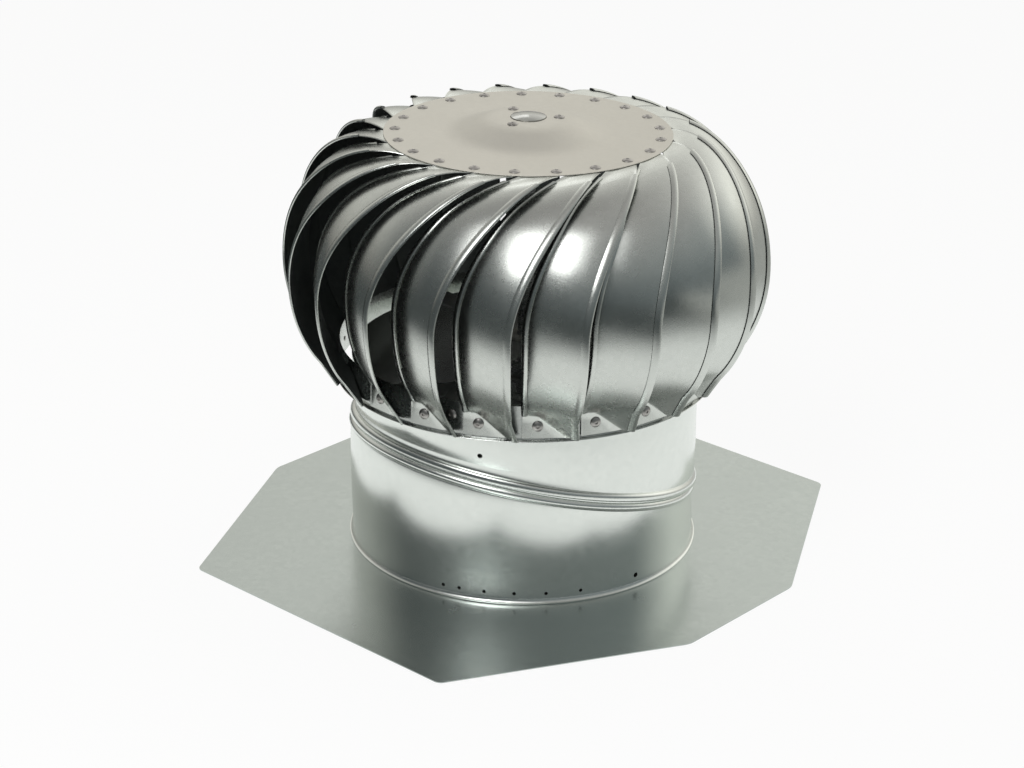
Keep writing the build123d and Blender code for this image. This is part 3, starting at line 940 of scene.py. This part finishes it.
def spare_hem_faces(flat_place, bm, rows, last_column):
    """Faces of the flat blank's hem flaps past the ends of the hems."""
    hem_columns = hem_flap_steps + hem_bend_steps
    inner_flap = range(hem_columns)
    outer_flap = range(last_column - hem_columns + 1, last_column + 1)
    spare = []
    for face in bm.faces:
        places = [flat_place[vert] for vert in face.verts]
        row_angle = min(rows[row][1] for row, column in places)
        on_inner_flap = all(column in inner_flap for row, column in places)
        on_outer_flap = all(column in outer_flap for row, column in places)
        past_inner_hem = not fold_row_angle <= row_angle < inner_hem_end_angle
        past_outer_hem = row_angle >= outer_hem_end_angle
        if on_inner_flap and past_inner_hem or on_outer_flap and past_outer_hem:
            spare.append(face)
    return spare


def make_vane(turn, rows, columns):
    """A flat blank with hemmed edges, bowed and curled into a blade and folded at its foot."""
    bm = bmesh.new()
    last_row = len(rows) - 1
    last_column = len(columns) - 1
    bmesh.ops.create_grid(bm, x_segments=last_column, y_segments=last_row, size=1)
    flat_place = {}
    for vert in bm.verts:
        column = round((vert.co.x + 1) / 2 * last_column)
        row = round((vert.co.y + 1) / 2 * last_row)
        flat_place[vert] = (row, column)
    spare = spare_hem_faces(flat_place, bm, rows, last_column)
    for vert, (row, column) in flat_place.items():
        zone, place, lift = columns[column]
        corners, angle = rows[row]
        notch = outer_hem_notch if zone == "outer" and angle > outer_hem_end_angle else 0
        point, across, share = row_point(corners, zone, place + notch)
        ahead = row_point(rows[min(row + 1, last_row)][0], zone, place)[0]
        behind = row_point(rows[max(row - 1, 0)][0], zone, place)[0]
        out = across.cross(ahead - behind).normalized()
        climb = min(1, max(0, (angle - vane_foot_angle) / (90 - vane_foot_angle)))
        bow = 4 * vane_bow_height * math.sin(math.pi * climb) * share * (1 - share)
        dent_place = Vector((share * dents_across, climb * dents_along, turn * dents_between_vanes))
        dent = noise.noise(dent_place) * vane_unevenness
        vert.co = (point + out * (lift + bow + dent * math.sin(math.pi * climb))) * MM
    bmesh.ops.delete(bm, geom=spare, context="FACES")
    bm = grow_wall(bm, vane_wall)
    bm.normal_update()
    # Faces that lean inwards and are not near level take the dark finish, painted shade inside the head
    for face in bm.faces:
        middle = face.calc_center_median()
        inwards = -face.normal.dot(Vector((*middle.xy, 0)).normalized())
        face.material_index = int(inwards > inside_lean and face.normal.z < inside_level_limit)
    side = math.radians(first_vane_side + vane_pitch * turn)
    bmesh.ops.rotate(bm, cent=(0, 0, 0), matrix=Matrix.Rotation(side, 3, "Z"), verts=bm.verts)
    node = f"vane_{turn + 1:02d}"
    blade = place_piece(f"{node}_blade", bm, "turbine", vane_zinc, node, vane_crease)
    blade.data.materials.append(vane_inside_painted_shade)


# Head

def make_ring():
    """The ring that carries the vane feet, with its lip turned out."""
    bm = bmesh.new()
    inner = ring_radius - ring_thickness
    lip_edge = ring_radius + ring_lip_width
    spin_outline(bm, [
        (inner, ring_top - ring_top_break),
        (inner, ring_bottom, ring_inner_bend),
        (lip_edge - edge_break, ring_bottom),
        (lip_edge, ring_bottom + edge_break),
        (lip_edge - edge_break, ring_bottom + ring_thickness),
        (ring_radius, ring_bottom + ring_thickness, ring_outer_bend),
        (ring_radius, ring_top - ring_top_break),
        (ring_radius - ring_thickness / 2, ring_top),
    ], closed=True)
    place_piece("vane_foot_ring", bm, "turbine", ring_zinc, "bottom_ring", turned_crease)


def make_cap():
    """The disc with a low cone in its middle and a hole for the dome."""
    bm = bmesh.new()
    rim_inner = cap_radius - cap_rim_width
    hole = dome_radius + dome_gap
    rim_under = cap_rim_height - cap_thickness
    crown_under = cap_crown_height - cap_thickness
    spin_outline(bm, [
        (hole, cap_crown_height),
        (cap_crown_radius, cap_crown_height, cap_cone_ease),
        (rim_inner, cap_rim_height, cap_cone_ease),
        (cap_radius - edge_break, cap_rim_height),
        (cap_radius, cap_rim_height - edge_break),
        (cap_radius - edge_break, rim_under),
        (rim_inner, rim_under, cap_cone_ease),
        (cap_crown_radius, crown_under, cap_cone_ease),
        (hole, crown_under),
    ], closed=True)
    place_piece("top_disc", bm, "turbine", cap_zinc, "top_cap", turned_crease)


def dome_outline():
    """The dome's skin from its edge to its middle: part of a ball."""
    rise = dome_height - dome_edge_height
    ball = (dome_radius ** 2 + rise ** 2) / (2 * rise)
    top = cap_crown_height + dome_height
    radii = [dome_radius * (1 - step / dome_steps) for step in range(1, dome_steps + 1)]
    return [(radius, top - ball + math.sqrt(ball ** 2 - radius ** 2)) for radius in radii]


def make_housing():
    """The bearing's housing, whose flange lies under the cap and whose dome stands through it."""
    bm = bmesh.new()
    flange_top = cap_crown_height - cap_thickness
    flange_bottom = flange_top - housing_flange_thickness
    hub_bottom = bearing_bottom - housing_skirt
    spin_outline(bm, [
        (0, bearing_top),
        (bearing_pocket_radius, bearing_top),
        (bearing_pocket_radius, hub_bottom),
        (housing_hub_radius, hub_bottom),
        (housing_hub_radius, flange_bottom),
        (housing_flange_radius, flange_bottom),
        (housing_flange_radius, flange_top),
        (dome_radius, flange_top),
        (dome_radius, cap_crown_height + dome_edge_height),
    ] + dome_outline(), steps=housing_steps)
    place_piece(
        "bearing_dome", bm, "turbine", housing_alloy, "bearing_housing", housing_crease
    )


def single_rivet(grip):
    """A domed blind rivet at the origin, with the small pit that its pin leaves."""
    bm = bmesh.new()
    tail = -grip - rivet_tail_length
    pit_bottom = rivet_head_height - rivet_pit_depth
    spin_outline(bm, [
        (0, tail),
        (rivet_shank_radius, tail),
        (rivet_shank_radius, 0),
        (rivet_head_radius, 0),
        (rivet_head_radius, rivet_rim_height, rivet_rim_ease),
        (rivet_pit_radius + rivet_crown_width, rivet_head_height - rivet_crown_drop, rivet_crown_ease),
        (rivet_pit_radius, rivet_head_height, rivet_pit_ease),
        (rivet_pit_radius * rivet_pit_taper, pit_bottom),
        (0, pit_bottom),
    ], steps=rivet_steps)
    return mesh_from("single_rivet", bm)


def make_rivets(name, body, node, seats, grip):
    """A group of rivets, each set on a seat with a base and a direction."""
    rivet = single_rivet(grip)
    bm = bmesh.new()
    for base, direction in seats:
        placed = len(bm.verts)
        bm.from_mesh(rivet)
        aim_along(bm, bm.verts[:][placed:], base, direction)
    bpy.data.meshes.remove(rivet)
    place_piece(name, bm, body, rivet_steel, node, turned_crease)


def wall_seats(radius, sides, height):
    """Rivet seats on a round upright wall."""
    return [(polar(radius, side, height), polar(1, side, 0)) for side in sides]


def top_seats(radius, sides, height):
    """Rivet seats on a level sheet."""
    return [(polar(radius, side, height), up) for side in sides]


def dress_copy(name, node, body, finish, edge=0):
    """A smooth copy of a CAD node with its flat faces joined and its edges broken."""
    bm = bmesh.new()
    bm.from_mesh(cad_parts[node].data)
    bmesh.ops.remove_doubles(bm, verts=bm.verts, dist=copy_merge * MM)
    bmesh.ops.dissolve_limit(
        bm, angle_limit=math.radians(copy_flat_angle), use_dissolve_boundaries=False,
        verts=bm.verts, edges=bm.edges,
    )
    if edge:
        inner_lines = [line for line in bm.edges if len(line.link_faces) == 2]
        sharp = [line for line in inner_lines if line.calc_face_angle() > copy_edge_turn]
        bmesh.ops.bevel(
            bm, geom=sharp, affect="EDGES", offset=edge * MM, segments=2, profile=0.5, material=-1,
            clamp_overlap=True,
        )
    place_piece(name, bm, body, finish, node, copy_crease)


make_flashing()
make_lower_collar()
make_upper_collar()
make_ring()
make_cap()
make_housing()

rows = vane_rows()
columns = vane_columns()
for turn in range(vane_count):
    make_vane(turn, rows, columns)

vane_sides = [first_vane_side + vane_pitch * turn for turn in range(vane_count)]
cap_sides = [side + cap_rivet_side for side in vane_sides]
foot_sides = [side + vane_base_side - vane_width_angle + foot_rivet_angle for side in vane_sides]
foot_face_radius = ring_radius + foot_seat_gap + seat_gap + vane_thickness
make_rivets(
    "cap_rim_rivets", "turbine", "cap_rivets",
    top_seats(cap_rivet_circle_radius, cap_sides, cap_rim_height), cap_thickness + vane_thickness,
)
make_rivets(
    "vane_foot_rivets", "turbine", "ring_rivets",
    wall_seats(foot_face_radius, foot_sides, foot_rivet_height), vane_thickness + ring_thickness,
)
make_rivets(
    "dome_rivets", "turbine", "boss_rivets",
    top_seats(boss_rivet_circle_radius, boss_rivet_sides, cap_crown_height),
    cap_thickness + housing_flange_thickness,
)
make_rivets(
    "spider_arm_rivets", "turbine", "spider_rivets",
    wall_seats(ring_radius + seat_gap, spider_rivet_sides, spider_rivet_height),
    ring_thickness + brace_thickness,
)
make_rivets(
    "brace_arm_rivets", "swivel_collar", "brace_rivets",
    wall_seats(collar_radius + seat_gap, brace_rivet_sides, brace_rivet_height),
    collar_thickness + brace_thickness,
)
dress_copy("spider_strap", "head_spider", "turbine", strap_zinc, strap_break)
dress_copy("spider_bush", "shaft_bush", "turbine", bush_nylon, bush_break)
dress_copy("outer_race", "bearing_outer_ring", "turbine", bearing_steel)
dress_copy("inner_race", "bearing_inner_ring", "swivel_collar", bearing_steel)
dress_copy("brace_strap", "shaft_brace", "swivel_collar", strap_zinc, strap_break)
dress_copy("spindle", "shaft", "swivel_collar", shaft_steel)
dress_copy("spindle_nuts", "shaft_nuts", "swivel_collar", shaft_steel, nut_break)
dress_copy("spindle_washers", "shaft_washers", "swivel_collar", shaft_steel, washer_break)


# Stage, light and camera

def floor_paper():
    """Paper that is white to the camera and takes the shadow; to metal it glows as a bright table, a
    painted reflection with painted shade in the throat.
    """
    finish = bpy.data.materials.new("studio_floor")
    finish.use_nodes = True
    nodes = finish.node_tree.nodes
    matt = nodes["Principled BSDF"]
    matt.inputs["Base Color"].default_value = (*floor_grey, 1)
    matt.inputs["Roughness"].default_value = floor_roughness
    matt.inputs["Specular IOR Level"].default_value = 0.0
    rays = add_node(finish, "ShaderNodeLightPath")
    place = add_node(finish, "ShaderNodeTexCoord").outputs["Object"]
    length = add_node(finish, "ShaderNodeVectorMath")
    length.operation = "LENGTH"
    join(finish, place, length.inputs[0])
    distance = length.outputs["Value"]

    white = add_node(finish, "ShaderNodeEmission", Color=(1, 1, 1, 1))
    outside_throat = calculate(finish, "GREATER_THAN", distance, collar_radius * MM)
    join(finish, calculate(finish, "MULTIPLY", outside_throat, paper_strength), white.inputs["Strength"])
    white_share = calculate(finish, "MULTIPLY", rays.outputs["Is Camera Ray"], paper_share)
    seen = blend_shaders(finish, white_share, matt.outputs["BSDF"], white.outputs["Emission"])

    # What metal sees of the floor is this glow, not lit paper: a painted reflection, with painted shade
    # inside the throat
    tables = [
        colour_ramp(finish, distance, (
            (throat_shade_radius * MM, throat_shade),
            (table_inner_radius * MM, table_white),
            (table_outer_radius * MM, table_white),
            (table_end_radius * MM, table_end),
        ))
        for table_end in (table_end_dim, table_end_pale)
    ]
    pale_side = facing(finish, place, table_pale_side, (0.0, table_pale_reach * MM), whole_span)
    table = add_node(finish, "ShaderNodeEmission")
    join(finish, blend_colours(finish, pale_side, *tables), table.inputs["Color"])
    paper = blend_shaders(finish, rays.outputs["Is Glossy Ray"], seen, table.outputs["Emission"])
    join(finish, paper, nodes["Material Output"].inputs["Surface"])
    return finish


def make_floor():
    """A wide level sheet just under the flashing."""
    bm = bmesh.new()
    bmesh.ops.create_grid(bm, x_segments=1, y_segments=1, size=floor_half_width * MM)
    bmesh.ops.translate(bm, vec=(0, 0, -floor_drop * MM), verts=bm.verts)
    mesh = mesh_from("studio_floor", bm)
    mesh.materials.append(floor_paper())
    floor = add_object("studio_floor", mesh)


def make_room():
    """A studio room: dim at the camera's side, pale behind and on the right, white to the camera."""
    world = bpy.data.worlds.new("studio_room")
    world.use_nodes = True
    bpy.context.scene.world = world
    nodes = world.node_tree.nodes
    walls = nodes["Background"]
    direction = add_node(world, "ShaderNodeTexCoord").outputs["Generated"]
    parts = add_node(world, "ShaderNodeSeparateXYZ")
    join(world, direction, parts.inputs["Vector"])
    sides = [colour_ramp(world, parts.outputs["Z"], stops) for stops in (near_room, far_room)]
    far = facing(world, direction, far_room_side, far_room_span, whole_span)
    join(world, blend_colours(world, far, *sides), walls.inputs["Color"])
    strength = facing(world, direction, bright_room_side, bright_room_span, room_strength)
    join(world, strength, walls.inputs["Strength"])
    rays = add_node(world, "ShaderNodeLightPath")
    white = add_node(world, "ShaderNodeBackground", Color=(1, 1, 1, 1))
    room = blend_shaders(
        world, rays.outputs["Is Camera Ray"], walls.outputs["Background"], white.outputs["Background"]
    )
    join(world, room, nodes["World Output"].inputs["Surface"])


def add_softbox(name, side, elevation, distance, width, height, power):
    """A softbox that faces the head, at a side measured from the camera's; its sizes are in metres."""
    lamp = bpy.data.lights.new(name, "AREA")
    lamp.shape = "RECTANGLE"
    lamp.size = width
    lamp.size_y = height
    lamp.energy = power
    rise = math.radians(elevation)
    aim = room_direction(side) * math.cos(rise) + up * math.sin(rise)
    box = add_object(name, lamp)
    box.location = up * softbox_aim_height * MM + aim * distance
    box.rotation_euler = aim.to_track_quat("Z", "Y").to_euler()


def add_camera():
    """The photograph's camera."""
    camera = bpy.data.cameras.new("photo_camera")
    camera.sensor_width = camera_sensor_width
    camera.lens = camera_lens
    camera.clip_start = camera_clip_start * MM
    camera.clip_end = camera_clip_end * MM
    place = Matrix.Translation((0, -camera_distance * MM, camera_height * MM))
    pan = Matrix.Rotation(math.radians(-camera_yaw), 4, "Z")
    tilt = Matrix.Rotation(math.radians(90 + camera_pitch), 4, "X")
    roll = Matrix.Rotation(math.radians(camera_roll), 4, "Z")
    round_object = Matrix.Rotation(math.radians(photo_turn), 4, "Z")
    stand = add_object("photo_camera", camera)
    stand.matrix_world = round_object @ place @ pan @ tilt @ roll
    bpy.context.scene.camera = stand


make_floor()
make_room()
add_softbox(
    "softbox_over_front", side=-26, elevation=44, distance=1.9, width=0.65, height=0.95, power=7.0
)
add_softbox("softbox_halo", side=-26, elevation=50, distance=2.4, width=1.9, height=1.3, power=7.5)
add_softbox("softbox_behind", side=-172, elevation=36, distance=1.3, width=0.3, height=0.25, power=0.2)
add_camera()
bpy.context.scene.view_settings.view_transform = "Standard"
